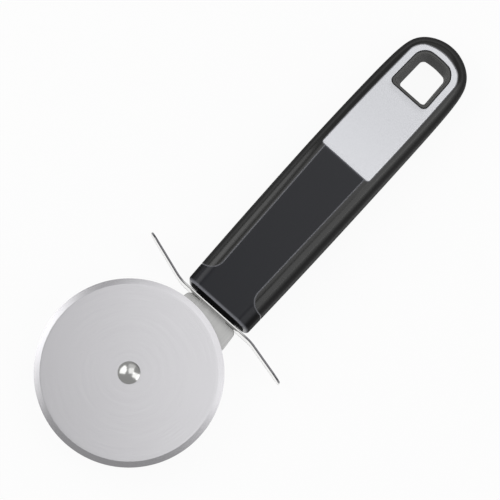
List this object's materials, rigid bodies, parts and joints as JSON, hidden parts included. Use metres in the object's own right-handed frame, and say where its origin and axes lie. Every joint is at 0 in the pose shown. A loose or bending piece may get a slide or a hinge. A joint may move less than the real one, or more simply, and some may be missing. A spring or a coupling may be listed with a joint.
{
  "type": "pizza cutter wheel",
  "caption": "Hand-held pizza cutter: a free-turning steel wheel on a strap, a thin finger guard and a soft-sided plastic handle with a bare metal inlay and a hanging hole.",
  "frame": {"origin": "middle of the handle's flat back, which the cutter lies on", "axes": "+X along the handle from the wheel to the hanging end, +Z out of the front face, along the wheel's axle"},
  "size_m": [0.1903, 0.0729, 0.0185],
  "materials": {
    "blade_steel": "fine brushed stainless steel",
    "strap_steel": "rolled and tumbled stainless strip",
    "polished_steel": "polished stainless rivet head",
    "natural_plastic": "natural acetal",
    "core_plastic": "fine matt moulded polypropylene",
    "soft_grip": "satin soft-touch elastomer",
    "inlay_metal": "satin sheet, bare",
    "eyelet_plastic": "satin moulded plastic, dark grey"
  },
  "bodies": {
    "handle": {"handle_core": "core_plastic", "soft_grip": "soft_grip", "inlay_plate": "inlay_metal", "hang_eyelet": "eyelet_plastic", "strap": "strap_steel", "finger_guard": "strap_steel", "axle_rivet": "polished_steel", "spacer_washer": "natural_plastic", "rear_washer": "blade_steel"},
    "wheel": {"blade": "blade_steel"}
  },
  "joints": [
    {"name": "wheel_spin", "type": "hinge", "parent": "handle", "child": "wheel", "pos_m": [-0.09745, 0.0069, 0.0109], "axis": [0, 0, 1], "continuous": true}
  ]
}
